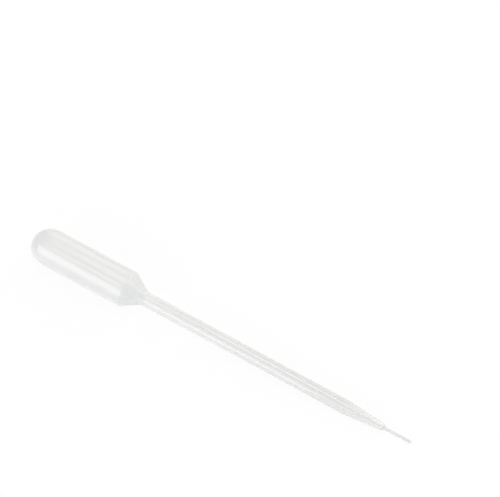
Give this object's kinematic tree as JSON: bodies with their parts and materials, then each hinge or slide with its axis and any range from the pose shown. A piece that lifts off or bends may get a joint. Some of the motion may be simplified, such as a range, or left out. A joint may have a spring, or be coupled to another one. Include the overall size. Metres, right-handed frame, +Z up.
{
  "type": "plastic dropper pipette",
  "caption": "One-piece milky plastic dropper with a long domed squeeze bulb, a conical shoulder, a slim plain stem, a taper and a fine open tip.",
  "frame": {"origin": "on the surface that the pipette lies on, under the middle of its bounding box", "axes": "+X towards the fine tip along the pipette as it lies, +Z up; the pipette's own axis dips 2.78 degrees below +X towards the tip, because it rests on the edge of its bulb and the front end of its stem"},
  "size_m": [0.15, 0.0136, 0.015],
  "materials": {
    "natural_polyethylene": "translucent milky, satin"
  },
  "bodies": {
    "root": {"pipette": "natural_polyethylene"}
  },
  "joints": []
}
